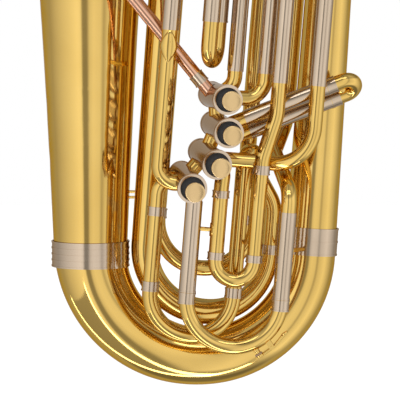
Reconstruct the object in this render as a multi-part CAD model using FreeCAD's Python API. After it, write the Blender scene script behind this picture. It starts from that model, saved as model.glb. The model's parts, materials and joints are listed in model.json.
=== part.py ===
"""A compact four-valve tuba with front-action pistons.

Millimetres. +X is to the right of someone facing the buttons, +Y runs away from them, +Z is up.
The origin is on the floor under the lowest point of the bottom bow.
The bell stands upright. The outer branch leans by BODY_LEAN and the slides by LEAN.
"""
import FreeCAD, Part
import math
import os

V = FreeCAD.Vector
Y_AXIS, Z_AXIS = V(0, 1, 0), V(0, 0, 1)

# ---- Driving dimensions -------------------------------------------------
WALL = 0.8                 # brass tubing wall
RUN = 0.05                 # radial running clearance of slides and pistons
GAP = 0.4                  # space left between a slide's ferrule and its sleeve

# Bell, bottom bow and outer branch, all in the plane y = 0
BELL_X = -137.0            # axis of the upright bell
BELL_WALL = 0.7
BELL_FOOT = 166.0          # where the bell meets the bottom bow
BELL_TOP = 915.0
RIM_RADIUS = 195.0
RIM_BEAD = 3.0             # radius of the rolled edge
BELL_PROFILE = [(BELL_FOOT, 45.8), (250, 49.3), (340, 53.8), (482, 62.0), (600, 71.5), (700, 84.0),
                (780, 102.0), (840, 125.0), (884, 157.0)]
BOW_RADIUS = 137.0         # centre line of the bottom bow
BOW_WALL = 0.9
BOW_TUBE = (45.8, 36.0, 32.6)   # tube radius at the bell, at the bottom and at the outer branch
BOW_Z = BOW_RADIUS + BOW_TUBE[1]
BODY_LEAN = 4.0            # degrees
BRANCH_LENGTH = 398.0
BRANCH_TOP_RADIUS = 28.0

# Inner branch, inner bow and return tubes, nested inside
LEAN = 4.6                 # degrees, for everything made in the leaning frame below
PIVOT_Z = 300.0
INNER_P = -58.6            # inner branch
RETURN_P = 98.2            # right leg of the inner bow
INNER_BOW_Q = -128.0
INNER_RADII = (17.3, 16.0, 10.3)    # inner bow: at the branch, at the bottom, at the return tube
INNER_TOP_Q = 262.0
INNER_TOP_RADIUS = 21.0
RISER_P, RISER_Y = 106.0, 28.0
DROP_P = 60.0

# Tubing of the valve section: outer radii
TUBE = 9.2                 # first, second and third valve slides
TUBE_4 = 9.7               # fourth valve slides
TUBE_MAIN = 9.5            # main tuning slide and what follows it
LEAD = 8.0                 # leadpipe
SLEEVE_WALL = 0.8
FERRULE_WALL = 1.0
BEAD = 0.5                 # how far a ferrule's end bead stands proud

# Valves: near end of each axis at the top cap, far end at the bottom cap, as (x, z)
CAP_Y, FOOT_Y = -160.0, -30.0
VALVES = [((33.3, 364.0), (14.2, 365.6)), ((34.8, 324.1), (17.0, 329.3)),
          ((20.8, 286.6), (1.6, 294.9)), ((-8.7, 258.1), (-22.5, 267.0))]
CASING = 16.0
BORE = 14.05
CAP = 17.6
PISTON = BORE - RUN
PISTON_LENGTH = 98.0
TRAVEL = 19.0              # how far a valve is pressed
BUTTON = 11.8
BUTTON_OUT = 27.0          # from the cap's face to the button's underside
KNUCKLE_Y = -62.0          # depth of the short tubes that join the casings

NODES = {}


# ---- Helpers ------------------------------------------------------------
def lean(p, y, q):
    """A point of the leaning frame: p to the right, q up along the slides."""
    a = math.radians(LEAN)
    return V(p * math.cos(a) + q * math.sin(a), y, PIVOT_Z + q * math.cos(a) - p * math.sin(a))


UP = lean(0, 0, 1) - lean(0, 0, 0)
RIGHT = lean(1, 0, 0) - lean(0, 0, 0)


def unit(vector):
    copy = V(vector)
    copy.normalize()
    return copy


def rod(start, end, radius):
    way = end - start
    return Part.makeCylinder(radius, way.Length, start, unit(way))


def ring(start, end, outer, inner):
    """A straight hollow tube from start to end."""
    way = unit(end - start)
    return rod(start, end, outer).cut(rod(start - way, end + way, inner))


def route(points, radii):
    """A wire through the points, with a tangent arc of the given radius at each inner point."""
    edges = []
    last = points[0]
    for index, radius in enumerate(radii):
        corner = points[index + 1]
        before = unit(points[index] - corner)
        after = unit(points[index + 2] - corner)
        half = before.getAngle(after) / 2
        reach = radius / math.tan(half)
        start = corner + before * reach
        end = corner + after * reach
        middle = corner + unit(before + after) * (radius / math.sin(half) - radius)
        if (start - last).Length > 1e-6:
            edges.append(Part.LineSegment(last, start).toShape())
        edges.append(Part.Arc(start, middle, end).toShape())
        last = end
    if (points[-1] - last).Length > 1e-6:
        edges.append(Part.LineSegment(last, points[-1]).toShape())
    return Part.Wire(edges)


def bar(points, radii, radius):
    """A solid round bar along a route."""
    path = route(points, radii)
    disc = Part.makeCircle(radius, points[0], unit(points[1] - points[0]))
    return path.makePipeShell([Part.Wire(disc)], True, False)


def pipe(points, radii, outer, inner=None):
    """A hollow tube along a route."""
    inner = outer - WALL if inner is None else inner
    return bar(points, radii, outer).cut(bar(points, radii, inner))


def horn(stations, wall):
    """A hollow tube through stations of (centre, direction, radius)."""
    def skin(shrink):
        hoops = [Part.Wire(Part.makeCircle(radius - shrink, centre, way)) for centre, way, radius in stations]
        return Part.makeLoft(hoops, True, False)
    return skin(0).cut(skin(wall))


def ferrule(start, end, tube):
    """A collar soldered over a joint, with a bead at each end."""
    way = unit(end - start)
    outer = tube + FERRULE_WALL
    body = ring(start, end, outer, tube)
    for edge in (start, end - way * 1.6):
        body = body.fuse(ring(edge, edge + way * 1.6, outer + BEAD, tube))
    return body.removeSplitter()


def sleeve(start, end, tube):
    """A slide's outer tube. Its first 8 mm fit over the fixed tube and the rest runs on the slide."""
    way = unit(end - start)
    outer = tube + RUN + SLEEVE_WALL
    socket = ring(start, start + way * 8, outer, tube)
    barrel = ring(start + way * 8, end, outer, tube + RUN)
    lip = ring(end - way * 1.8, end, outer + BEAD, tube + RUN)
    return socket.fuse([barrel, lip]).removeSplitter()


def put(name, *solids):
    """Keep one or more separate solids as a node."""
    NODES[name] = Part.makeCompound(list(solids)) if len(solids) > 1 else solids[0]


def valve_point(number, y):
    """The point of a valve's axis at depth y. Valves count from 1."""
    near, far = VALVES[number - 1]
    share = (y - CAP_Y) / (FOOT_Y - CAP_Y)
    return V(near[0] + (far[0] - near[0]) * share, y, near[1] + (far[1] - near[1]) * share)


def valve_way(number):
    return unit(valve_point(number, FOOT_Y) - valve_point(number, CAP_Y))


def outside_casings(shape, *numbers):
    """Trim what would stand inside the casings of the given valves."""
    for number in numbers:
        way = valve_way(number)
        start = valve_point(number, CAP_Y)
        shape = shape.cut(Part.makeCylinder(CASING, 140, start, way))
    solids = sorted(shape.Solids, key=lambda solid: solid.Volume)
    return solids[-1]


# ---- Bell ---------------------------------------------------------------
def bell_half(shrink):
    """Points of the bell's side from foot to rim, moved inwards by shrink."""
    points = []
    profile = BELL_PROFILE + [(BELL_TOP - RIM_BEAD, RIM_RADIUS - RIM_BEAD)]
    for index, (z, radius) in enumerate(profile):
        low = profile[max(index - 1, 0)]
        high = profile[min(index + 1, len(profile) - 1)]
        slope = math.atan2(high[1] - low[1], high[0] - low[0])
        level = 0 < index < len(profile) - 1
        points.append(V(BELL_X + radius - shrink * (math.cos(slope) if level else 1), 0,
                        z + shrink * (math.sin(slope) if level else 0)))
    return points


def bell():
    outer, inner = Part.BSplineCurve(), Part.BSplineCurve()
    outer_points, inner_points = bell_half(0), bell_half(BELL_WALL)
    inner_points[-1] = outer_points[-1] + V(-BELL_WALL * 0.7, 0, BELL_WALL * 0.7)
    outer.interpolate(outer_points)
    inner.interpolate(inner_points)
    foot = Part.LineSegment(inner_points[0], outer_points[0]).toShape()
    lip = Part.LineSegment(outer_points[-1], inner_points[-1]).toShape()
    face = Part.Face(Part.Wire([foot, outer.toShape(), lip, inner.toShape().reversed()]))
    side = face.revolve(V(BELL_X, 0, 0), Z_AXIS, 360)
    bead = Part.makeTorus(RIM_RADIUS - RIM_BEAD, RIM_BEAD, V(BELL_X, 0, BELL_TOP - RIM_BEAD), Z_AXIS)
    land = Part.makeBox(500, 500, 10, V(BELL_X - 250, -250, BELL_TOP - 0.3))
    return side.fuse(bead).cut(land).removeSplitter()


def body_tubes():
    put("bell", bell())
    axis = V(BELL_X, 0, 0)
    put("bell_ferrule", banded_ferrule(axis + V(0, 0, 150), axis + V(0, 0, 182), 47.2, 5))

    # Bottom bow: from under the bell to the foot of the leaning outer branch
    stop = -math.radians(BODY_LEAN)
    stations = [(V(BELL_X, 0, BELL_FOOT), -Z_AXIS, BOW_TUBE[0])]
    count = 12
    for step in range(count + 1):
        turn = -math.pi + (math.pi + stop) * step / count
        share = 2.0 * step / count
        first, middle, last = BOW_TUBE
        radius = first + (middle - first) * share if share < 1 else middle + (last - middle) * (share - 1)
        centre = V(BOW_RADIUS * math.cos(turn), 0, BOW_Z + BOW_RADIUS * math.sin(turn))
        way = V(-math.sin(turn), 0, math.cos(turn))
        if step > 0:
            stations.append((centre, way, radius))
    put("bottom_bow", horn(stations, BOW_WALL))

    foot = stations[-1][0]
    way = stations[-1][1]
    top = foot + way * BRANCH_LENGTH
    put("outer_branch", horn([(foot, way, BOW_TUBE[2]), (top, way, BRANCH_TOP_RADIUS)], BOW_WALL))
    low_ring = banded_ferrule(foot + way * 2, foot + way * 36, BOW_TUBE[2] + 0.5, 3)

    # Top bow: two quarter turns from the inner branch over to the outer branch
    left = lean(INNER_P, 0, INNER_TOP_Q)
    width = (top - left).Length / 2
    path = route([left, left + UP * width, top + way * (width - 6), top], [width - 4, width - 8])
    put("top_bow", horn(along(path, left, INNER_TOP_RADIUS, BRANCH_TOP_RADIUS, 12), BOW_WALL))
    put("branch_ferrules", low_ring,
        banded_ferrule(top - way * 26, top, BRANCH_TOP_RADIUS + 0.9, 3),
        banded_ferrule(left - UP * 24, left, INNER_TOP_RADIUS + 0.2, 2))


def banded_ferrule(start, end, inner, bands):
    """A wide nickel ferrule with raised bands round it."""
    way = unit(end - start)
    length = (end - start).Length
    body = ring(start, end, inner + 1.2, inner)
    for band in range(bands):
        at = start + way * ((length - 2.0) * band / (bands - 1))
        body = body.fuse(ring(at, at + way * 2.0, inner + 1.8, inner))
    return body.removeSplitter()


def along(path, start, first, last, count):
    """Stations along a route, with the tube's radius growing evenly from first to last."""
    total = path.Length
    stations = []
    edges = path.OrderedEdges
    for step in range(count + 1):
        left = total * step / count
        for edge in edges:
            if left <= edge.Length + 1e-6:
                break
            left -= edge.Length
        where = edge.getParameterByLength(min(left, edge.Length))
        point, way = edge.valueAt(where), edge.tangentAt(where)
        if stations and (point - stations[-1][0]).dot(way) < 0:
            way = -way
        stations.append((point, way, first + (last - first) * step / count))
    return stations


# ---- Inner branch, inner bow and return tubes ---------------------------
def inner_tubes():
    centre = lean((INNER_P + RETURN_P) / 2, 0, INNER_BOW_Q)
    radius = (RETURN_P - INNER_P) / 2
    stations = []
    count = 10
    for step in range(count + 1):
        turn = math.pi + math.pi * step / count
        share = 2.0 * step / count
        first, middle, last = INNER_RADII
        tube = first + (middle - first) * share if share < 1 else middle + (last - middle) * (share - 1)
        spot = centre + RIGHT * (radius * math.cos(turn)) + UP * (radius * math.sin(turn))
        stations.append((spot, unit(UP * math.cos(turn) - RIGHT * math.sin(turn)), tube))
    put("inner_bow", horn(stations, WALL))

    foot = lean(INNER_P, 0, INNER_BOW_Q)
    top = lean(INNER_P, 0, INNER_TOP_Q)
    put("inner_branch", horn([(foot, UP, INNER_RADII[0]), (top, UP, INNER_TOP_RADIUS)], WALL))

    # From the foot of the return leg, across to the drop tube, over the top and down to the riser,
    # which comes from the right leg of the main tuning slide
    foot = lean(RETURN_P, 0, INNER_BOW_Q)
    put("return_leg", pipe([foot, lean(RETURN_P, 0, -66), lean(DROP_P, 0, -8), lean(DROP_P, 0, 279),
                            lean(RISER_P, RISER_Y, 279), lean(RISER_P, RISER_Y, 245)],
                           [40, 40, 26, 26], INNER_RADII[2]))
    riser_foot = lean(MAIN_P + MAIN_SPAN, MAIN_Y, MAIN_START_Q - 13)
    put("return_riser", pipe([riser_foot, lean(MAIN_P + MAIN_SPAN, MAIN_Y, -40), lean(92, -30, 2),
                              lean(RISER_P, RISER_Y, 40), lean(RISER_P, RISER_Y, 245)],
                             [26, 26, 26], TUBE_MAIN))


# ---- Leadpipe -----------------------------------------------------------
LEAD_Y = -88.0
LEAD_WAY = unit(V(-0.633, 0, 0.774))
LEAD_START = V(0, LEAD_Y, 385.4)
RECEIVER_X, RECEIVER_Z = -240.0, 634.0
RECEIVER_BORE = 6.95


def leadpipe():
    start = LEAD_START - LEAD_WAY * 20
    points = [start, LEAD_START + LEAD_WAY * 236, V(-226, -62, 622),
              V(RECEIVER_X, 12, RECEIVER_Z), V(RECEIVER_X, 78, RECEIVER_Z)]
    put("leadpipe", outside_casings(pipe(points, [110, 62, 60], LEAD), 1))
    start, end = V(RECEIVER_X, 52, RECEIVER_Z), V(RECEIVER_X, 108, RECEIVER_Z)
    step = V(RECEIVER_X, 78, RECEIVER_Z)
    body = ring(start, step, LEAD + 1.2, LEAD).fuse(ring(step, end, LEAD + 1.2, RECEIVER_BORE))
    body = body.fuse(ring(end - Y_AXIS * 6, end, LEAD + 2.6, RECEIVER_BORE))
    put("mouthpiece_receiver", body.removeSplitter())


# ---- Valve section ------------------------------------------------------
MAIN_P, MAIN_Y, MAIN_SPAN = -2.0, -114.0, 114.0
MAIN_START_Q, MAIN_END_Q = -60.0, -171.0
THIRD_P, THIRD_Y, THIRD_SPAN = 29.3, -112.0, 46.4
THIRD_BOW_Q = -129.0
UPPER_P, FAR_P = 88.8, 135.3                     # the third slide's legs
THIRD_FAR = V(80, -92, 285.5)                    # where its far tube turns forward
FIRST = ((35.0, -80.0), (71.8, -92.0))          # p and depth of the first slide's legs
SECOND_Y = (-90.0, -70.0)
SECOND_FOOT = (24.7, 327.1)                      # where the upper leg leaves the second valve, as (x, z)
SECOND_TURN = 21.0
SECOND_LEGS = 17.4
B_P, B_Y = -47.6, -108.0
LOOP_P, LOOP_Y, LOOP_FOOT_Q = (-47.2, 55.0), -72.0, -178.0
DEEP_P, DEEP_Y, DEEP_FOOT_Q = (-45.0, 71.0), -40.0, -90.0
LOWER = ((0.8, -112.0), (10.5, -76.0))          # p and depth of the lower fourth slide's legs


def crook_route(first, second, foot_q, bend_q, way=1):
    """Points and bend radii of a U through two legs. way is 1 for upwards, -1 for downwards."""
    radius = math.hypot(second[0] - first[0], second[1] - first[1]) / 2
    top = bend_q + way * radius
    points = [lean(*first, foot_q), lean(*first, top), lean(*second, top), lean(*second, foot_q)]
    return points, [radius * 0.998, radius * 0.998]


def legs_crook(first, second, joint_q, bend_q, depth, tube, way=1):
    """A slide's moving part: a crook on two inner legs that reach depth into their sleeves."""
    return pipe(*crook_route(first, second, joint_q - way * depth, bend_q, way), tube)


def leg_ferrules(legs, low_q, high_q, tube):
    return [ferrule(lean(p, y, low_q), lean(p, y, high_q), tube) for p, y in legs]


def main_slide():
    legs = ((MAIN_P, MAIN_Y), (MAIN_P + MAIN_SPAN, MAIN_Y))
    sleeves = [sleeve(lean(MAIN_P, MAIN_Y, MAIN_START_Q), lean(MAIN_P, MAIN_Y, MAIN_END_Q), TUBE_MAIN),
               sleeve(lean(legs[1][0], MAIN_Y, MAIN_START_Q - 5), lean(legs[1][0], MAIN_Y, MAIN_END_Q),
                      TUBE_MAIN)]
    put("main_slide_sleeves", *sleeves)
    bend_q = MAIN_END_Q - 5.0
    put("main_tuning_slide", legs_crook(*legs, MAIN_END_Q, bend_q, 95, TUBE_MAIN, -1))
    solid = bar(*crook_route(*legs, MAIN_END_Q, bend_q, -1), TUBE_MAIN)
    collars = leg_ferrules(legs, MAIN_END_Q - 14, MAIN_END_Q - GAP, TUBE_MAIN)
    put("main_slide_ferrules", *[collar.cut(solid) for collar in collars])
    water_key(bend_q, solid)


def water_key(bend_q, crook):
    """The key that closes a drain hole low on the crook's right side. crook is the crook as a solid bar."""
    radius = MAIN_SPAN / 2
    middle = lean(MAIN_P + radius, MAIN_Y, bend_q)
    angle = math.radians(-52)
    out = RIGHT * math.cos(angle) + UP * math.sin(angle)
    side = RIGHT * -math.sin(angle) + UP * math.cos(angle)
    skin = middle + out * (radius + TUBE_MAIN)
    hole = skin - side * 11

    nipple = ring(hole - out * 4, hole + out * 4.0, 3.6, 2.2).cut(crook)
    nipple = max(nipple.Solids, key=lambda solid: solid.Volume)
    pivot = skin + side * 7 + out * 6.5
    lugs = []
    for offset in (-5.2, 3.4):
        lug = rod(pivot + Y_AXIS * offset, pivot + Y_AXIS * (offset + 1.8), 3.2)
        foot = Part.makeBox(6.4, 1.8, 14, V(-3.2, -0.9, -14))
        foot.Placement = FreeCAD.Placement(pivot + Y_AXIS * (offset + 0.9),
                                           FreeCAD.Rotation(side, Y_AXIS, out, "ZXY"))
        lugs.append(lug.fuse(foot).cut(crook).removeSplitter())
    hinge_bore = rod(pivot - Y_AXIS * 8, pivot + Y_AXIS * 8, 1.25)
    lugs = [max(lug.cut(hinge_bore).Solids, key=lambda solid: solid.Volume) for lug in lugs]
    put("water_key_saddle", nipple, *lugs, rod(pivot - Y_AXIS * 6.2, pivot + Y_AXIS * 6.2, 1.25))

    high = hole + out * 6.6
    cup = rod(high, high + out * 2.6, 5.4)
    arm = bar([high + out * 2.1, pivot + side * 3 + out * 1.6, pivot + side * 22 - out * 5.0], [30], 1.9)
    barrel = rod(pivot - Y_AXIS * 3.2, pivot + Y_AXIS * 3.2, 3.2)
    touch = rod(pivot + side * 22 - out * 6.0, pivot + side * 22 - out * 4.0, 4.6)
    lever = cup.fuse([arm, barrel, touch]).cut(rod(pivot - Y_AXIS * 8, pivot + Y_AXIS * 8, 1.25 + 0.06))
    put("water_key_lever", lever.removeSplitter())
    put("water_key_cork", rod(hole + out * 4.3, high, 4.8))
    print("water key pivot", [round(value, 2) for value in pivot])


def first_slide():
    stubs = []
    bend_up = lean(FIRST[0][0], FIRST[0][1], 84)
    stubs.append(outside_casings(pipe([valve_point(1, FIRST[0][1]), bend_up, lean(*FIRST[0], 107)],
                                      [20], TUBE), 1))
    corner = lean(*FIRST[1], 69)
    stubs.append(outside_casings(pipe([valve_point(1, -108), corner, lean(*FIRST[1], 107)], [24], TUBE), 1))
    put("first_valve_ports", *stubs)
    put("first_slide_sleeves", *[sleeve(lean(*leg, 99), lean(*leg, 225), TUBE) for leg in FIRST])
    put("first_slide", legs_crook(*FIRST, 225, 243, 100, TUBE))
    put("first_slide_ferrules", *leg_ferrules(FIRST, 225 + GAP, 238, TUBE))


def second_point(leg, reach):
    """A point of the second slide: leg 0 or 1, and how far out along it."""
    turn = math.radians(SECOND_TURN)
    way = V(math.cos(turn), 0, math.sin(turn))
    across = V(math.sin(turn), 0, -math.cos(turn)) * SECOND_LEGS
    return V(SECOND_FOOT[0], SECOND_Y[leg], SECOND_FOOT[1]) + way * reach + across * leg


def second_slide():
    at = second_point
    ports = [outside_casings(pipe([at(0, -6), at(0, 40)], [], TUBE), 2),
             outside_casings(pipe([valve_point(2, SECOND_Y[1]), at(1, 10), at(1, 40)], [13], TUBE), 2)]
    put("second_valve_ports", *ports)
    put("second_slide_sleeves", *[sleeve(at(leg, 32), at(leg, 138), TUBE) for leg in (0, 1)])
    radius = math.hypot(SECOND_Y[1] - SECOND_Y[0], SECOND_LEGS) / 2
    end = 158 + radius
    put("second_slide", pipe([at(0, 60), at(0, end), at(1, end), at(1, 60)],
                             [radius * 0.998, radius * 0.998], TUBE))
    middle = (at(0, 154) + at(1, 154)) * 0.5
    knob = rod(at(0, 154), at(1, 154), 2.6)
    ball = Part.makeSphere(4.6, middle)
    grip = knob.fuse(ball)
    for leg in (0, 1):
        grip = grip.cut(rod(at(leg, 120), at(leg, 175), TUBE))
    put("second_slide_fittings", ferrule(at(0, 138 + GAP), at(0, 150), TUBE),
        ferrule(at(1, 138 + GAP), at(1, 150), TUBE), grip.removeSplitter())


def third_slide():
    left, right = THIRD_P, THIRD_P + THIRD_SPAN
    start = valve_point(3, THIRD_Y)
    lower = pipe([start, lean(left + 1, THIRD_Y, -22), lean(left, THIRD_Y, -40),
                  lean(left, THIRD_Y, THIRD_BOW_Q)], [14, 60], TUBE)
    rise = pipe([lean(right, THIRD_Y, THIRD_BOW_Q), lean(right, THIRD_Y, -3),
                 lean(UPPER_P, THIRD_Y, 50), lean(UPPER_P, THIRD_Y, 98)], [60, 60], TUBE)
    corner = lean(FAR_P, THIRD_Y, -9)
    far = pipe([valve_point(3, THIRD_FAR.y), THIRD_FAR, corner, lean(FAR_P, THIRD_Y, 98)], [30, 48], TUBE)
    put("third_valve_ports", outside_casings(lower, 3), rise, outside_casings(far, 3))
    put("third_lower_crook", legs_crook((left, THIRD_Y), (right, THIRD_Y), THIRD_BOW_Q, THIRD_BOW_Q,
                                        0, TUBE, -1))
    legs = ((UPPER_P, THIRD_Y), (FAR_P, THIRD_Y))
    put("third_slide_sleeves", *[sleeve(lean(*leg, 90), lean(*leg, 235), TUBE) for leg in legs])
    put("third_slide", legs_crook(*legs, 235, 255, 110, TUBE))
    put("third_slide_ferrules", *leg_ferrules(legs, 235 + GAP, 249, TUBE))


def fourth_slides():
    lower_left, lower_right = LOWER
    elbow = lean(B_P, B_Y, -42.3)
    upper = pipe([valve_point(4, B_Y), elbow, lean(B_P, B_Y, 151)], [20], TUBE_4)
    back_top = lean(LOOP_P[0], LOOP_Y, -40)
    down = pipe([valve_point(4, LOOP_Y), back_top, lean(LOOP_P[0], LOOP_Y, LOOP_FOOT_Q)], [20], TUBE_4)
    outlet = pipe([lean(MAIN_P, MAIN_Y, -36), lean(MAIN_P, MAIN_Y, MAIN_START_Q - 8)], [], TUBE_MAIN)
    put("fourth_valve_ports", *[outside_casings(tube, 4) for tube in (upper, down, outlet)])
    put("fourth_lower_bow", legs_crook((LOOP_P[0], LOOP_Y), (LOOP_P[1], LOOP_Y), LOOP_FOOT_Q, LOOP_FOOT_Q,
                                       0, TUBE_4, -1))
    top = 2.0
    bend = math.hypot(DEEP_P[1] - LOOP_P[1], DEEP_Y - LOOP_Y) / 2 * 0.998
    put("fourth_rear_leg", pipe([lean(LOOP_P[1], LOOP_Y, LOOP_FOOT_Q), lean(LOOP_P[1], LOOP_Y, top),
                                 lean(DEEP_P[1], DEEP_Y, top), lean(DEEP_P[1], DEEP_Y, DEEP_FOOT_Q)],
                                [bend, bend], TUBE_4))
    put("fourth_rear_bow", legs_crook((DEEP_P[0], DEEP_Y), (DEEP_P[1], DEEP_Y), DEEP_FOOT_Q, DEEP_FOOT_Q,
                                      0, TUBE_4, -1))
    top = 272 + 33
    put("fourth_rear_branch", pipe([lean(DEEP_P[0], DEEP_Y, DEEP_FOOT_Q), lean(DEEP_P[0], DEEP_Y, top),
                                    lean(*lower_right, top), lean(*lower_right, 217)],
                                   [32.8, 32.8], TUBE_4))

    # The upper slide joins the riser to the front leg; the lower slide hangs between front and back
    legs = ((B_P, B_Y), lower_left)
    barrel = ring(lean(*lower_left, 156.6), lean(*lower_left, 270), TUBE_4 + RUN + SLEEVE_WALL, TUBE_4 + RUN)
    back = sleeve(lean(*lower_right, 225), lean(*lower_right, 156.6), TUBE_4)
    put("fourth_slide_sleeves", sleeve(lean(B_P, B_Y, 143), lean(B_P, B_Y, 270), TUBE_4), barrel, back)
    put("fourth_upper_slide", legs_crook(*legs, 270, 285, 50, TUBE_4))
    put("fourth_slide_ferrules", *leg_ferrules(legs, 270 + GAP, 281, TUBE_4))
    put("fourth_lower_slide", legs_crook(*LOWER, 156.6, 129, 55, TUBE_4, -1))


def tube_ferrules():
    """Collars over the fixed joints of the small tubes."""
    left, right = THIRD_P, THIRD_P + THIRD_SPAN
    rings = []
    for p, low, high in ((left, -54, -45), (left, -129, -120), (right, -129, -120), (right, -22, -11)):
        rings.append(ferrule(lean(p, THIRD_Y, low), lean(p, THIRD_Y, high), TUBE))
    for p in LOOP_P:
        rings.append(ferrule(lean(p, LOOP_Y, -178), lean(p, LOOP_Y, -166), TUBE_4))
    rings.append(ferrule(lean(LOOP_P[0], LOOP_Y, -85), lean(LOOP_P[0], LOOP_Y, -74), TUBE_4))
    for p in DEEP_P:
        rings.append(ferrule(lean(p, DEEP_Y, -90), lean(p, DEEP_Y, -78), TUBE_4))
    rings.append(ferrule(lean(RETURN_P, 0, INNER_BOW_Q), lean(RETURN_P, 0, INNER_BOW_Q + 12),
                         INNER_RADII[2]))
    for p, y in ((DROP_P, 0), (RISER_P, RISER_Y)):
        tube = INNER_RADII[2] if p == DROP_P else TUBE_MAIN + 0.85
        rings.append(ferrule(lean(p, y, 238), lean(p, y, 250), tube))
    rings.append(ferrule(LEAD_START - LEAD_WAY * 5, LEAD_START + LEAD_WAY * 9, LEAD))
    put("tube_ferrules", *rings)


# ---- Valves -------------------------------------------------------------
def valves():
    top_caps, bottom_caps, felts, springs, knuckles = [], [], [], [], []
    for number in (1, 2, 3, 4):
        way = valve_way(number)
        mouth = valve_point(number, CAP_Y)
        length = (valve_point(number, FOOT_Y) - mouth).Length

        def at(reach):
            return mouth + way * reach

        casing = ring(at(8), at(length), CASING, BORE)
        for reach in (8, length - 3):
            casing = casing.fuse(ring(at(reach), at(reach + 3), CASING + 0.5, BORE))
        casing = casing.cut(passages_of(number, 8.3))
        put("valve_casing_%d" % number, casing.removeSplitter())

        cap = ring(at(0), at(8), CAP, CAP - 2.9)
        floor = ring(at(5.5), at(8), CAP - 2.0, 4.0)
        knurl = ring(at(5.4), at(7.6), CAP + 0.5, CAP - 2)
        top_caps.append(cap.fuse([floor, knurl]).removeSplitter())
        felts.append(ring(at(3.6), at(5.4), CAP - 3.0, 4.6))
        foot = rod(at(length), at(length + 4), CASING + 0.4)
        foot = foot.fuse(rod(at(length + 4), at(length + 6), CASING - 4))
        bottom_caps.append(foot.cut(rod(at(length), at(length + 2), BORE - 3)).removeSplitter())

        piston = rod(at(8.4), at(8.4 + PISTON_LENGTH), PISTON)
        hollow = rod(at(10.4), at(8.4 + PISTON_LENGTH - 2), PISTON - 1.2)
        walls = passages_of(number, 8.9).common(piston)
        body = piston.cut(hollow).fuse(walls).cut(passages_of(number, 8.1))
        stem = rod(at(-BUTTON_OUT), at(10), 3.4)
        put("piston_%d" % number, body.fuse(stem).removeSplitter())

        button = rod(at(-BUTTON_OUT - 4), at(-BUTTON_OUT), BUTTON)
        button = button.makeFillet(0.9, button.Edges)
        dish = rod(at(-BUTTON_OUT - 4.5), at(-BUTTON_OUT - 3.4), BUTTON - 2.6)
        put("finger_button_%d" % number, button.cut(dish))
        pressed = 8.4 + PISTON_LENGTH + TRAVEL
        springs.append(ring(at(pressed + 0.3), at(length - 0.3), 10.0, 8.4))
        print("valve", number, "axis", [round(value, 5) for value in way])

    for number in (1, 2, 3):
        start, end = valve_point(number, KNUCKLE_Y), valve_point(number + 1, KNUCKLE_Y)
        knuckles.append(outside_casings(ring(start, end, TUBE + 0.4, TUBE - WALL), number, number + 1))
    put("valve_caps", *top_caps)
    put("valve_bottom_caps", *bottom_caps)
    put("valve_felts", *felts)
    put("valve_springs", *springs)
    put("valve_knuckles", *knuckles)


def passages_of(number, radius):
    """The bores that meet a valve's axis from each of its ports, as one solid."""
    way = valve_way(number)
    pieces = []
    for port, depth in PORTS[number]:
        start = valve_point(number, depth)
        out = port - start
        out = unit(out - way * out.dot(way))
        pieces.append(Part.makeSphere(radius + 0.2, start))
        pieces.append(rod(start, start + out * 20, radius))
    return pieces[0].fuse(pieces[1:])


PORTS = {1: [(lean(*FIRST[0], 84), FIRST[0][1]), (lean(*FIRST[1], 69), -108.0),
             (valve_point(2, KNUCKLE_Y), KNUCKLE_Y), (LEAD_START, LEAD_Y)],
         2: [(second_point(0, 38), SECOND_Y[0]), (V(36, SECOND_Y[1], 313), SECOND_Y[1]),
             (valve_point(1, KNUCKLE_Y), KNUCKLE_Y), (valve_point(3, KNUCKLE_Y), KNUCKLE_Y)],
         3: [(lean(THIRD_P, THIRD_Y, -22), THIRD_Y), (THIRD_FAR, THIRD_FAR.y),
             (valve_point(2, KNUCKLE_Y), KNUCKLE_Y), (valve_point(4, KNUCKLE_Y), KNUCKLE_Y)],
         4: [(lean(B_P, B_Y, -42.3), B_Y), (lean(LOOP_P[0], LOOP_Y, -40), LOOP_Y),
             (lean(MAIN_P, MAIN_Y, -60), MAIN_Y), (valve_point(3, KNUCKLE_Y), KNUCKLE_Y)]}


# ---- Braces -------------------------------------------------------------
def pad(start, end, tube, spot, out, radius=9.0):
    """A thin saddle on a tube, round where a brace meets it."""
    cover = ring(start, end, tube + 1.0, tube)
    piece = cover.common(rod(spot, spot + out * 40, radius))
    return max(piece.Solids, key=lambda solid: solid.Volume)


def strut(start, end, radius, near, far):
    """A rod between two tubes, trimmed to both of them."""
    piece = rod(start, end, radius)
    for tube in (near, far):
        piece = piece.cut(tube)
    return max(piece.Solids, key=lambda solid: solid.Volume)


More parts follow.
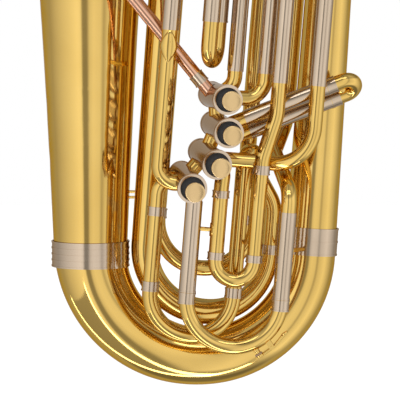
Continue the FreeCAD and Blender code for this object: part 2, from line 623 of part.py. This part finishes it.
def braces():
    bell_body = Part.makeCone(48.0, 53.9, 120, V(BELL_X, 0, 222), Z_AXIS)
    branch = Part.makeCone(INNER_RADII[0] + 0.2, INNER_TOP_RADIUS + 0.2,
                           INNER_TOP_Q - INNER_BOW_Q, lean(INNER_P, 0, INNER_BOW_Q), UP)
    bell_rods = [strut(V(BELL_X + 30, 0, z), V(-66, 0, z), 1.8, bell_body, branch) for z in (236, 243)]

    k_leg = rod(lean(MAIN_P, MAIN_Y, -60), lean(MAIN_P, MAIN_Y, -170), TUBE_MAIN + RUN + SLEEVE_WALL)
    third_leg = rod(lean(THIRD_P, THIRD_Y, -60), lean(THIRD_P, THIRD_Y, -118), TUBE)
    start, end = lean(MAIN_P, MAIN_Y, -93), lean(THIRD_P, THIRD_Y, -93)
    link = strut(start, end, 2.6, k_leg, third_leg)
    saddle = pad(lean(THIRD_P, THIRD_Y, -110), lean(THIRD_P, THIRD_Y, -76), TUBE, end, unit(start - end), 8.0)
    slide_brace = link.fuse(saddle).cut(third_leg).removeSplitter()

    way = unit(V(math.sin(math.radians(BODY_LEAN)), 0, math.cos(math.radians(BODY_LEAN))))
    foot = V(BOW_RADIUS * math.cos(math.radians(BODY_LEAN)), 0,
             BOW_Z - BOW_RADIUS * math.sin(math.radians(BODY_LEAN)))
    outer = rod(foot, foot + way * 60, BOW_TUBE[2] + 0.5 + 1.8)
    l_leg = rod(lean(MAIN_P + MAIN_SPAN, MAIN_Y, -60), lean(MAIN_P + MAIN_SPAN, MAIN_Y, -170),
                TUBE_MAIN + RUN + SLEEVE_WALL)
    start, end = lean(MAIN_P + MAIN_SPAN, MAIN_Y, -111.6), foot + way * 8
    branch_brace = strut(start, end, 2.8, l_leg, outer)

    start, end = lean(B_P, B_Y, 92), lean(INNER_P, 0, 96)
    riser = rod(lean(B_P, B_Y, 0), lean(B_P, B_Y, 140), TUBE_4)
    post = strut(start, end, 3.0, riser, branch)
    saddle = pad(lean(B_P, B_Y, 70), lean(B_P, B_Y, 114), TUBE_4, start, unit(end - start), 8.5)
    riser_brace = post.fuse(saddle).cut(riser)
    deep = rod(lean(DEEP_P[0], DEEP_Y, 40), lean(DEEP_P[0], DEEP_Y, 140), TUBE_4)
    riser_brace = riser_brace.cut(deep)

    start = V(RECEIVER_X, 30, RECEIVER_Z)
    lead = rod(V(RECEIVER_X, 0, RECEIVER_Z), V(RECEIVER_X, 70, RECEIVER_Z), LEAD)
    bell_top = Part.makeCone(71.4, 84.0, 100, V(BELL_X, 0, 600), Z_AXIS)
    receiver_brace = strut(start, V(BELL_X, 0, RECEIVER_Z), 3.0, lead, bell_top)

    near, far = [rod(lean(*leg, 190), lean(*leg, 220), TUBE_4 + RUN + SLEEVE_WALL) for leg in LOWER]
    sleeve_brace = strut(lean(*LOWER[0], 206), lean(*LOWER[1], 206), 3.0, near, far)
    put("braces", *bell_rods, slide_brace, branch_brace, *riser_brace.Solids, receiver_brace, sleeve_brace)


def build():
    body_tubes()
    inner_tubes()
    leadpipe()
    main_slide()
    first_slide()
    second_slide()
    third_slide()
    fourth_slides()
    tube_ferrules()
    valves()
    braces()
    os.makedirs("parts", exist_ok=True)
    for name, shape in NODES.items():
        solids = shape.Solids
        print("%-24s %2d solids %10.1f mm3 %s" % (name, len(solids), shape.Volume, shape.isValid()))
        shape.exportStep("parts/%s.step" % name)
    print(len(NODES), "nodes")


build()
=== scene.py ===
# %% [markdown]
# # A compact tuba, dressed for the studio
#
# The CAD model holds every part of this tuba at its real size and place: the tubes, slides, valves
# and water key. This lesson gives those parts their finish. Polished brass shows nothing but what
# it mirrors, so most of the work is in three things: surfaces that are smooth enough to mirror
# cleanly, metals with the faint marks of polishing, and a studio worth mirroring.

# %% Load the fixed frame
import json
import math

import bmesh
import bpy
from mathutils import Matrix, Vector


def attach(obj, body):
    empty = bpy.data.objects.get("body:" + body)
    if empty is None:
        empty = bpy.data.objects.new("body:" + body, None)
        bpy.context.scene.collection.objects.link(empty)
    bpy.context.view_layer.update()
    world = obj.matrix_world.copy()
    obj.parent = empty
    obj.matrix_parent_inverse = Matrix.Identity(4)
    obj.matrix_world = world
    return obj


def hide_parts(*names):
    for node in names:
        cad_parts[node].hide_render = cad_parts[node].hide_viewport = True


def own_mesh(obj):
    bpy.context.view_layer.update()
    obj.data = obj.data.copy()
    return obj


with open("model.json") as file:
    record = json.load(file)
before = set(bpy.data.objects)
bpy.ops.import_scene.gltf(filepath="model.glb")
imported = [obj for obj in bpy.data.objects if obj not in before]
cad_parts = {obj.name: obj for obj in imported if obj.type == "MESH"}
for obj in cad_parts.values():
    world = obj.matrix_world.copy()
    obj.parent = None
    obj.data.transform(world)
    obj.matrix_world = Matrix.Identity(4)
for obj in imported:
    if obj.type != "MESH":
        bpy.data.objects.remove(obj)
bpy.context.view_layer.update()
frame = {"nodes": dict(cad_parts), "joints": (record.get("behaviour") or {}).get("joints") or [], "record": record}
scene = bpy.context.scene
record = frame["record"]
joints = {joint["name"]: joint for joint in frame["joints"]}

# %% [markdown]
# ## Looking up a part's body
#
# A new piece has to ride on the same body as the part it belongs to, so that a slide's collar moves
# with its slide. The record lists the nodes of each body, and this turns that list round.

# %% Which body each node rides on
body_of = {}
for body_name, node_names in record["behaviour"]["bodies"].items():
    for node_name in node_names:
        body_of[node_name] = body_name
print("main tuning slide rides on", body_of["main_tuning_slide"])

# %% [markdown]
# ## Metals
#
# A metal is one Principled shader with Metallic at 1. Its colour is what it does to the light that
# it mirrors, so a brass of strong yellow turns a white studio gold, and gold mirrored in gold turns
# deep amber by itself. What makes it look real is unevenness: the colour drifts a little over a
# hand's width, the polish is a touch duller in soft patches, and the buffing wheel leaves hairlines.
# One helper makes all of that, and each metal is a few numbers.

# %% A helper for polished metals
def noise(tree, coordinates, scale, detail, stretch=(1, 1, 1)):
    """A noise texture on Object coordinates. A stretch of 14 squeezes it 14 times on that axis."""
    mapping = tree.nodes.new("ShaderNodeMapping")
    mapping.inputs["Scale"].default_value = stretch
    texture = tree.nodes.new("ShaderNodeTexNoise")
    texture.inputs["Scale"].default_value = scale
    texture.inputs["Detail"].default_value = detail
    tree.links.new(coordinates.outputs["Object"], mapping.inputs["Vector"])
    tree.links.new(mapping.outputs["Vector"], texture.inputs["Vector"])
    return texture


def ramp(tree, texture, stops):
    """Colours or grey values for the noise's low and high parts."""
    node = tree.nodes.new("ShaderNodeValToRGB")
    for element, (position, colour) in zip(node.color_ramp.elements, stops):
        element.position = position
        element.color = (*colour, 1.0)
    tree.links.new(texture.outputs["Fac"], node.inputs["Fac"])
    return node


def grey(value):
    return (value, value, value)


def roughen(tree, texture, shader, strength, depth):
    """Tiny relief from a noise texture, depth metres deep at most."""
    bump = tree.nodes.new("ShaderNodeBump")
    bump.inputs["Strength"].default_value = strength
    bump.inputs["Distance"].default_value = depth
    tree.links.new(texture.outputs["Fac"], bump.inputs["Height"])
    tree.links.new(bump.outputs["Normal"], shader.inputs["Normal"])


# How many patches to a metre: a slow drift, dull patches a few centimetres wide, and hairlines
DRIFT_SCALE, PATCH_SCALE, HAIRLINE_SCALE = 9.0, 26.0, 900.0
HAIRLINE_DEPTH = 0.0002
LACQUER_ROUGHNESS = 0.05


def metal(name, dark, light, polish, hairlines=0.02, stretch=(1, 1, 14), lacquer=0.0):
    """polish is the roughness in the best and the dullest patches, lacquer the weight of a coat."""
    material = bpy.data.materials.new(name)
    material.use_nodes = True
    tree = material.node_tree
    shader = tree.nodes["Principled BSDF"]
    shader.inputs["Metallic"].default_value = 1.0
    shader.inputs["Specular Tint"].default_value = (*light, 1.0)
    shader.inputs["Coat Weight"].default_value = lacquer
    shader.inputs["Coat Roughness"].default_value = LACQUER_ROUGHNESS
    coordinates = tree.nodes.new("ShaderNodeTexCoord")

    drift = ramp(tree, noise(tree, coordinates, DRIFT_SCALE, 3.0), ((0.32, dark), (0.7, light)))
    tree.links.new(drift.outputs["Color"], shader.inputs["Base Color"])

    patches = ramp(tree, noise(tree, coordinates, PATCH_SCALE, 4.0),
                   ((0.35, grey(polish[0])), (0.75, grey(polish[1]))))
    tree.links.new(patches.outputs["Color"], shader.inputs["Roughness"])

    lines = noise(tree, coordinates, HAIRLINE_SCALE, 2.0, stretch)
    roughen(tree, lines, shader, hairlines, HAIRLINE_DEPTH)
    return material


# %% The metals of this tuba
METALS = {
    "lacquered_brass": metal("lacquered_brass", (0.71, 0.465, 0.120), (0.78, 0.525, 0.150),
                             (0.06, 0.11), lacquer=0.25),
    "rose_brass": metal("rose_brass", (0.68, 0.37, 0.235), (0.76, 0.44, 0.30),
                        (0.08, 0.14), lacquer=0.25),
    "nickel_silver": metal("nickel_silver", (0.56, 0.44, 0.32), (0.64, 0.51, 0.385),
                           (0.10, 0.17), hairlines=0.05, stretch=(1, 1, 0.08)),
    "button_brass": metal("button_brass", (0.70, 0.49, 0.235), (0.76, 0.54, 0.275),
                          (0.24, 0.34), hairlines=0.12, stretch=(1, 1, 1)),
    "piston_metal": metal("piston_metal", (0.52, 0.51, 0.48), (0.60, 0.59, 0.56),
                          (0.22, 0.3), hairlines=0.08, stretch=(0.05, 1, 0.05)),
    "spring_steel": metal("spring_steel", (0.30, 0.27, 0.23), (0.42, 0.38, 0.33),
                          (0.28, 0.4), hairlines=0.1),
}
print("metals:", ", ".join(METALS))

# %% [markdown]
# ## Felt and cork
#
# Two soft materials quieten the metal. Felt is pressed wool: it has no shine at all, a nap that
# catches light at its edge, which is the shader's sheen, and clumps a fraction of a millimetre wide.
# Cork is a closed-cell bark, so its pattern is cells with dark pores between them.

# %% A felt and a cork
SHEEN_ROUGHNESS, RELIEF = 0.6, 0.6


def soft_material(name, roughness, sheen, cells, colours, depth):
    material = bpy.data.materials.new(name)
    material.use_nodes = True
    tree = material.node_tree
    shader = tree.nodes["Principled BSDF"]
    shader.inputs["Roughness"].default_value = roughness
    shader.inputs["Sheen Weight"].default_value = sheen
    shader.inputs["Sheen Roughness"].default_value = SHEEN_ROUGHNESS
    coordinates = tree.nodes.new("ShaderNodeTexCoord")
    grain = noise(tree, coordinates, cells, 5.0)
    colour = ramp(tree, grain, ((0.35, colours[0]), (0.65, colours[1])))
    tree.links.new(colour.outputs["Color"], shader.inputs["Base Color"])
    roughen(tree, grain, shader, RELIEF, depth)
    return material


FELT = soft_material("black_felt", 0.95, 0.4, 2200.0,
                     ((0.006, 0.006, 0.007), (0.03, 0.028, 0.027)), 0.0003)
CORK = soft_material("key_cork", 0.85, 0.1, 1400.0,
                     ((0.20, 0.10, 0.05), (0.50, 0.33, 0.19)), 0.0002)
print("soft:", FELT.name, CORK.name)

# %% [markdown]
# ## Welding the tubes smooth
#
# The frame's tubes come as loose triangles. Each has the right shape, but with no shared corners a
# mirror finish would show every facet. So each metal part gets a copy whose corners are welded with
# one bmesh operator. Then its faces are shaded smooth, except across real edges, which are the ones
# that turn by more than a chosen angle. The copy stands for its part and rides on the same body.

# %% A helper that welds and smooths a part
SHARP_EDGE = math.radians(32)
WELD = 2e-6


def finish(piece, material, body):
    """What every finished piece gets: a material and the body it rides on."""
    piece.data.materials.clear()
    piece.data.materials.append(material)
    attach(piece, body)


def link(name, mesh):
    piece = bpy.data.objects.new(name, mesh)
    scene.collection.objects.link(piece)
    return piece


def shade(mesh):
    """Smooth faces, apart from the edges that turn by more than SHARP_EDGE."""
    mesh.polygons.foreach_set("use_smooth", [True] * len(mesh.polygons))
    mesh.set_sharp_from_angle(angle=SHARP_EDGE)


def polish(node_name, slot, word):
    """A welded, smooth copy of a part. Its stored normals go, as they'd win over new shading."""
    mesh = frame["nodes"][node_name].data.copy()
    if "custom_normal" in mesh.attributes:
        mesh.attributes.remove(mesh.attributes["custom_normal"])
    welded = bmesh.new()
    welded.from_mesh(mesh)
    bmesh.ops.remove_doubles(welded, verts=welded.verts, dist=WELD)
    welded.to_mesh(mesh)
    welded.free()
    shade(mesh)
    piece = link("%s_%s" % (word, node_name), mesh)
    finish(piece, METALS[slot], body_of[node_name])
    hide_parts(node_name)
    return piece


# %% Polish every metal part with its own slot's finish
WORDS = {"lacquered_brass": "brass", "rose_brass": "rose", "nickel_silver": "nickel",
         "piston_metal": "lapped"}
for part in record["subparts"]:
    slot_name = part["material_slot"]
    if slot_name in WORDS:
        made = polish(part["node"], slot_name, WORDS[slot_name])
        print("%-34s %6d faces" % (made.name, len(made.data.polygons)))

# %% [markdown]
# ## Turned parts
#
# A finger button, a felt ring, a cork pad, a ball and a flange are all turned: one outline swept
# round an axis. An outline is a list of (radius, height) in metres, and bmesh's spin sweeps it. On
# chosen points of the outline, every other step is pulled in by a hair, which is what a knurling
# tool does to an edge.

# %% A helper for turned parts
SAME_POINT = 1e-6
SEAM = 1e-7


def upright(place, way):
    """The matrix that stands a part made along +Z on place, pointing along way."""
    return Matrix.Translation(place) @ Vector(way).to_track_quat("Z", "Y").to_matrix().to_4x4()


def turned(name, outline, places, steps=64, flutes=(), depth=0.0):
    """outline swept round each of places. flutes are the outline's points that get knurled."""
    sweep = bmesh.new()
    for place in places:
        ring = [sweep.verts.new((radius, 0, height)) for radius, height in outline]
        edges = [sweep.edges.new(pair) for pair in zip(ring, ring[1:])]
        if outline[0][0] > 0:
            edges.append(sweep.edges.new((ring[-1], ring[0])))
        before = set(sweep.verts) - set(ring)
        bmesh.ops.spin(sweep, geom=ring + edges, cent=(0, 0, 0), axis=(0, 0, 1), angle=math.tau,
                       steps=steps, use_merge=True, use_duplicate=False)
        new = [vert for vert in sweep.verts if vert not in before]
        for vert in new:
            reach = math.hypot(vert.co.x, vert.co.y)
            step = round(math.atan2(vert.co.y, vert.co.x) / math.tau * steps)
            for index in flutes:
                radius, height = outline[index]
                here = abs(reach - radius) < SAME_POINT and abs(vert.co.z - height) < SAME_POINT
                if here and step % 2:
                    vert.co.x *= 1 - depth / reach
                    vert.co.y *= 1 - depth / reach
        bmesh.ops.transform(sweep, matrix=place, verts=new)
    bmesh.ops.remove_doubles(sweep, verts=sweep.verts, dist=SEAM)
    bmesh.ops.recalc_face_normals(sweep, faces=sweep.faces)
    mesh = bpy.data.meshes.new(name)
    sweep.to_mesh(mesh)
    sweep.free()
    shade(mesh)
    return link(name, mesh)


# %% [markdown]
# ## Buttons, felts and springs
#
# Each valve has a shallow dished button with a knurled edge, a crowned ring of black felt in its top
# cap, and a coil spring under the piston. The heights below are measured along the valve from the
# face of its cap. A real coil squashes as its valve goes down; this one is built at a single length,
# and the imported springs are hidden.

# %% Where the valves are
MOUTHS = {1: (0.0333, -0.160, 0.3640), 2: (0.0348, -0.160, 0.3241),
          3: (0.0208, -0.160, 0.2866), 4: (-0.0087, -0.160, 0.2581)}
WAYS = {number: Vector(joints["valve_%d_press" % number]["axis"]).normalized() for number in MOUTHS}
SPRING_TOP, SPRING_FOOT, CLOSED = 0.1067, 0.1311, 0.0054


def down_valve(number, reach):
    return Vector(MOUTHS[number]) + WAYS[number] * reach


# %% Buttons and felts
BUTTON = ((0.0, -0.0303), (0.0045, -0.03034), (0.0080, -0.03052), (0.0093, -0.03088),
          (0.0100, -0.0310), (0.0109, -0.0309), (0.0116, -0.0304), (0.0118, -0.0299),
          (0.0118, -0.0281), (0.0115, -0.0274), (0.0108, -0.0270), (0.0, -0.0270))
KNURLED, KNURL_DEPTH, KNURL_STEPS = (7, 8), 0.0003, 96
FELT_RING = ((0.0047, 0.0044), (0.0051, 0.0038), (0.0064, 0.0034), (0.0098, 0.0033),
             (0.0128, 0.0034), (0.0141, 0.0038), (0.0145, 0.0044), (0.0145, 0.0053),
             (0.0047, 0.0053))
for number, way in WAYS.items():
    button = turned("button_%d" % number, BUTTON, [upright(MOUTHS[number], way)],
                    steps=KNURL_STEPS, flutes=KNURLED, depth=KNURL_DEPTH)
    finish(button, METALS["button_brass"], "valve_%d" % number)
    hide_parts("finger_button_%d" % number)
felt_places = [upright(MOUTHS[number], way) for number, way in WAYS.items()]
felts = turned("felt_rings", FELT_RING, felt_places)
finish(felts, FELT, body_of["valve_felts"])
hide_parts("valve_felts")
print("buttons and felts at", list(MOUTHS))

# %% Coil springs
COIL_RADIUS, WIRE, TURNS, COIL_STEPS, WIRE_SIDES = 0.0092, 0.0006, 6, 24, 8


def coil(name, number):
    """A wire ring carried round the valve's axis and down it at the same time."""
    wire = bmesh.new()
    turn = Matrix.Translation((COIL_RADIUS, 0, 0)) @ Matrix.Rotation(math.pi / 2, 4, "X")
    circle = bmesh.ops.create_circle(wire, cap_ends=False, radius=WIRE, segments=WIRE_SIDES,
                                     matrix=turn)["verts"]
    edges = list(wire.edges)
    steps = TURNS * COIL_STEPS
    drop = (SPRING_FOOT - SPRING_TOP - 2 * WIRE) / steps
    bmesh.ops.spin(wire, geom=circle + edges, cent=(0, 0, 0), axis=(0, 0, 1), dvec=(0, 0, drop),
                   angle=math.tau * TURNS, steps=steps, use_merge=False, use_duplicate=False)
    ends = [edge for edge in wire.edges if edge.is_boundary]
    bmesh.ops.holes_fill(wire, edges=ends, sides=WIRE_SIDES)
    bmesh.ops.transform(wire, verts=wire.verts,
                        matrix=upright(down_valve(number, SPRING_TOP + WIRE), WAYS[number]))
    bmesh.ops.recalc_face_normals(wire, faces=wire.faces)
    mesh = bpy.data.meshes.new(name)
    wire.to_mesh(mesh)
    wire.free()
    shade(mesh)
    return link(name, mesh)


for number in MOUTHS:
    spring = coil("coil_%d" % number, number)
    finish(spring, METALS["spring_steel"], "tuba")
    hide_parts("valve_springs")
    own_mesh(spring)
print("coils of", TURNS, "turns")

# %% [markdown]
# ## Small fittings
#
# The last pieces are small: the cork pad under the water key, the gold ball that is gripped to pull
# the second slide, a round flange where a brace meets its tube, and a diamond-shaped saddle wrapped
# round the fourth valve's riser. The saddle starts as a flat grid and is rolled onto the tube.

# %% Cork pad, ball and flange
CORK_PLACE, CORK_WAY = (0.06813, -0.114, 0.05858), (0.5505, 0.0, -0.8348)
CORK_PAD = ((0.0, 0.0043), (0.0040, 0.0043), (0.0046, 0.0045), (0.0048, 0.0049), (0.0048, 0.0062),
            (0.0045, 0.0066), (0.0, 0.0066))
pad = turned("cork_pad", CORK_PAD, [upright(CORK_PLACE, CORK_WAY)], steps=32)
finish(pad, CORK, "water_key")
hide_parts("water_key_cork")

BALL_PLACE, BALL_RADIUS, BALL_HALF_HEIGHT, BALL_ARCS = (0.17159, -0.080, 0.37417), 0.0062, 0.0056, 16
BALL = [(BALL_RADIUS * math.sin(math.pi * step / BALL_ARCS),
         -BALL_HALF_HEIGHT * math.cos(math.pi * step / BALL_ARCS)) for step in range(BALL_ARCS + 1)]
ball = turned("slide_ball", BALL, [upright(BALL_PLACE, (0, -1, 0))], steps=40)
finish(ball, METALS["lacquered_brass"], "second_slide")

BRACE_START, BRACE_WAY = (0.1027, -0.114, 0.1798), (0.289, 0.955, -0.070)
FLANGE = ((0.0030, 0.0098), (0.0080, 0.0098), (0.0086, 0.0103), (0.0086, 0.0108),
          (0.0080, 0.0113), (0.0046, 0.0118), (0.0034, 0.0130), (0.0030, 0.0130))
flange = turned("brace_flange", FLANGE, [upright(BRACE_START, BRACE_WAY)], steps=40)
finish(flange, METALS["lacquered_brass"], "tuba")
print("cork pad, ball and flange")

# %% The diamond saddle
LEAN = math.radians(4.6)
UP = Vector((math.sin(LEAN), 0, math.cos(LEAN)))
RIGHT = Vector((math.cos(LEAN), 0, -math.sin(LEAN)))
FRONT = Vector((0, -1, 0))
SADDLE_PLACE = Vector((-0.0375, -0.108, 0.4275))
SADDLE_HEIGHT, SADDLE_REACH, SADDLE_RADIUS = 0.019, math.radians(80), 0.0108
SADDLE_TAPER, SADDLE_CROWN, SADDLE_THICKNESS, SADDLE_CELLS = 0.94, 0.0024, 0.0009, 20

saddle_shape = bmesh.new()
bmesh.ops.create_grid(saddle_shape, x_segments=SADDLE_CELLS, y_segments=SADDLE_CELLS, size=1.0)
for vert in saddle_shape.verts:
    across, along = vert.co.x, vert.co.y
    angle = across * (1 - SADDLE_TAPER * abs(along)) * SADDLE_REACH
    outward = FRONT * math.cos(angle) + RIGHT * math.sin(angle)
    crown = SADDLE_CROWN * (1 - across ** 4) * (1 - along ** 4)
    vert.co = SADDLE_PLACE + UP * (along * SADDLE_HEIGHT) + outward * (SADDLE_RADIUS + crown)
whole = saddle_shape.verts[:] + saddle_shape.edges[:] + saddle_shape.faces[:]
bmesh.ops.solidify(saddle_shape, geom=whole, thickness=SADDLE_THICKNESS)
bmesh.ops.recalc_face_normals(saddle_shape, faces=saddle_shape.faces)
saddle_mesh = bpy.data.meshes.new("riser_saddle")
saddle_shape.to_mesh(saddle_mesh)
saddle_shape.free()
shade(saddle_mesh)
saddle = link("riser_saddle", saddle_mesh)
finish(saddle, METALS["lacquered_brass"], "tuba")
print("saddle with", len(saddle_mesh.polygons), "faces")

# %% [markdown]
# ## Studio
#
# A mirror needs a room. The world here is a ring of pale panels seen all the way round: bright a
# little to the left of the camera and well to its right, calmer behind the tuba, and with one
# narrow dark gap between two panels, which draws the thin dark line down the middle of every tube.
# A second set of brightnesses, by height, multiplies the first. The camera itself sees plain white,
# which the Light Path node allows.

# %% The ring of panels
# Degrees round from the camera, positive to its right, and brightness
PANELS = ((-180, 0.5), (-144, 0.45), (-108, 0.42), (-70, 0.72), (-50, 0.86), (-28, 1.04),
          (-20, 0.98), (-15, 0.3), (-5, 0.3), (1, 0.78), (11, 0.92), (28, 0.85), (36, 0.5),
          (45, 0.78), (72, 1.0), (118, 0.4), (180, 0.5))

# The sine of the angle above the horizon, and brightness
BANDS = ((-1.0, 0.38), (-0.9, 0.42), (-0.8, 0.98), (-0.2, 0.92), (0.35, 1.0), (0.5, 0.5),
         (0.8, 0.6), (1.0, 0.45))
STUDIO_STRENGTH = 1.28

world = bpy.data.worlds.new("studio")
world.use_nodes = True
scene.world = world
tree = world.node_tree
background = tree.nodes["Background"]
output = tree.nodes["World Output"]


def brightness(value, low, high, stops):
    """Grey levels for value, which runs from low to high. stops are (share of the run, level)."""
    share = tree.nodes.new("ShaderNodeMapRange")
    share.inputs["From Min"].default_value = low
    share.inputs["From Max"].default_value = high
    levels = tree.nodes.new("ShaderNodeValToRGB")
    elements = levels.color_ramp.elements
    while len(elements) < len(stops):
        elements.new(0.5)
    for element, (position, level) in zip(elements, stops):
        element.position = position
        element.color = (*grey(level), 1.0)
    tree.links.new(value, share.inputs["Value"])
    tree.links.new(share.outputs["Result"], levels.inputs["Fac"])
    return levels


direction = tree.nodes.new("ShaderNodeTexCoord")
split = tree.nodes.new("ShaderNodeSeparateXYZ")
towards_camera = tree.nodes.new("ShaderNodeMath")
towards_camera.operation = "MULTIPLY"
towards_camera.inputs[1].default_value = -1.0
bearing = tree.nodes.new("ShaderNodeMath")
bearing.operation = "ARCTAN2"
tree.links.new(direction.outputs["Generated"], split.inputs["Vector"])
tree.links.new(split.outputs["Y"], towards_camera.inputs[0])
tree.links.new(split.outputs["X"], bearing.inputs[0])
tree.links.new(towards_camera.outputs["Value"], bearing.inputs[1])
panels = brightness(bearing.outputs["Value"], -math.pi, math.pi,
                    [(0.5 + degrees / 360, level) for degrees, level in PANELS])
bands = brightness(split.outputs["Z"], -1.0, 1.0,
                   [(0.5 + height / 2, level) for height, level in BANDS])
print("world with", len(panels.color_ramp.elements), "panel edges and",
      len(bands.color_ramp.elements), "band edges")

# %% Panels times bands, and white for the camera
both = tree.nodes.new("ShaderNodeMix")
both.data_type = "RGBA"
both.blend_type = "MULTIPLY"
both.inputs["Factor"].default_value = 1.0
tree.links.new(panels.outputs["Color"], both.inputs["A"])
tree.links.new(bands.outputs["Color"], both.inputs["B"])
tree.links.new(both.outputs["Result"], background.inputs["Color"])
background.inputs["Strength"].default_value = STUDIO_STRENGTH

seen = tree.nodes.new("ShaderNodeLightPath")
white = tree.nodes.new("ShaderNodeBackground")
white.inputs["Color"].default_value = (1, 1, 1, 1)
mix = tree.nodes.new("ShaderNodeMixShader")
tree.links.new(seen.outputs["Is Camera Ray"], mix.inputs["Fac"])
tree.links.new(background.outputs["Background"], mix.inputs[1])
tree.links.new(white.outputs["Background"], mix.inputs[2])
tree.links.new(mix.outputs["Shader"], output.inputs["Surface"])
scene.view_settings.view_transform = "Standard"
print("studio strength", STUDIO_STRENGTH)

# %% [markdown]
# ## Lights and camera
#
# Two long softboxes hang above and in front, and put the white glints on every bend that faces up.
# A wide fill lifts the matt parts, and is hidden from mirrors. Two thin strips lie below, spreading
# apart to the left, with a dark card between them: the bottom bow mirrors the strips as a pair of
# white streaks that run together at its lowest point. A white sheet a little under the bow is the
# floor. It would hide the strips from the brass, so only the camera sees it. The camera is a long
# lens from far back, a little above the valves and looking slightly down, so upright tubes stay
# nearly upright.

# %% Softboxes above and strips below
BODY = Vector((0, 0, 0.2))

# name, one end, the other end, width, brightness
LIGHTS = (("softbox_low", (-1.6, -2.1, 2.2), (1.0, -2.1, 2.2), 0.3, 2.6),
          ("softbox_high", (-1.6, -1.75, 2.5), (1.0, -1.75, 2.5), 0.3, 1.8),
          ("strip_front", (-1.9, -2.75, -1.0), (0.15, -0.18, -1.0), 0.17, 4.5),
          ("strip_back", (-2.2, 0.73, -1.0), (0.5, -0.40, -1.0), 0.14, 4.5),
          ("fill", (-1.5, -1.2, 2.6), (1.5, -1.2, 2.6), 2.0, 0.9))


def softbox(name, start, end, width, glow):
    """A long light from start to end, facing the tuba's body."""
    start, end = Vector(start), Vector(end)
    along = (end - start).normalized()
    middle = (start + end) / 2
    facing = (middle - BODY).normalized()
    across = facing.cross(along).normalized()
    facing = along.cross(across)
    turn = Matrix((along, across, facing)).transposed().to_4x4()
    light = bpy.data.lights.new(name, "AREA")
    light.shape = "RECTANGLE"
    light.size = (end - start).length
    light.size_y = width
    light.energy = glow * math.pi * light.size * width
    lamp = bpy.data.objects.new(name, light)
    lamp.matrix_world = Matrix.Translation(middle) @ turn
    scene.collection.objects.link(lamp)
    return lamp


lamps = {row[0]: softbox(*row) for row in LIGHTS}
lamps["fill"].visible_glossy = False
print("lights:", list(lamps))

# %% The dark card and the floor
# A wedge: the first and third corners are its wide left end, the others its narrow right end.
CARD = ((-2.2, 0.60, -1.05), (0.20, -0.30, -1.05), (-1.9, -2.55, -1.05), (0.10, -0.20, -1.05))
CARD_GLOW = 0.36

# The floor is 15 mm down, so that the main slide can be pulled right out above it.
FLOOR_HALF, FLOOR_LEVEL, FLOOR_GLOW = 3.0, -0.015, 1.0
FLOOR = ((-FLOOR_HALF, -FLOOR_HALF, FLOOR_LEVEL), (FLOOR_HALF, -FLOOR_HALF, FLOOR_LEVEL),
         (-FLOOR_HALF, FLOOR_HALF, FLOOR_LEVEL), (FLOOR_HALF, FLOOR_HALF, FLOOR_LEVEL))
NEAR_BLACK = 0.02


def sheet(name, corners, material_name, glow):
    """A flat sheet with an even glow and hardly any colour of its own."""
    mesh = bpy.data.meshes.new(name)
    shape = bmesh.new()
    bmesh.ops.create_grid(shape, x_segments=1, y_segments=1, size=1.0)
    for vert, corner in zip(shape.verts, corners):
        vert.co = corner
    shape.to_mesh(mesh)
    shape.free()
    piece = link(name, mesh)
    material = bpy.data.materials.new(material_name)
    material.use_nodes = True
    paint = material.node_tree.nodes["Principled BSDF"]
    paint.inputs["Base Color"].default_value = (*grey(NEAR_BLACK), 1.0)
    paint.inputs["Emission Color"].default_value = (1.0, 1.0, 1.0, 1.0)
    paint.inputs["Emission Strength"].default_value = glow
    piece.data.materials.append(material)
    piece.visible_shadow = False
    return piece


card = sheet("dark_card", CARD, "grey_card", CARD_GLOW)
card.visible_camera = False
floor = sheet("floor", FLOOR, "pale_floor", FLOOR_GLOW)
floor.visible_glossy = False
floor.visible_diffuse = False
floor.visible_transmission = False
print("card and floor at heights", CARD[0][2], "and", FLOOR_LEVEL)

# %% The camera
FRAME_WIDTH = 0.5
AIM = Vector((0, 0, 0.2325))
PLACE = Vector((0, -3.3, 0.49))
lens = bpy.data.cameras.new("camera")
lens.lens = lens.sensor_width * (AIM - PLACE).length / FRAME_WIDTH
camera = bpy.data.objects.new("camera", lens)
camera.location = PLACE
camera.rotation_euler = (AIM - PLACE).to_track_quat("-Z", "Y").to_euler()
scene.collection.objects.link(camera)
scene.camera = camera
print("lens %.0f mm" % lens.lens)
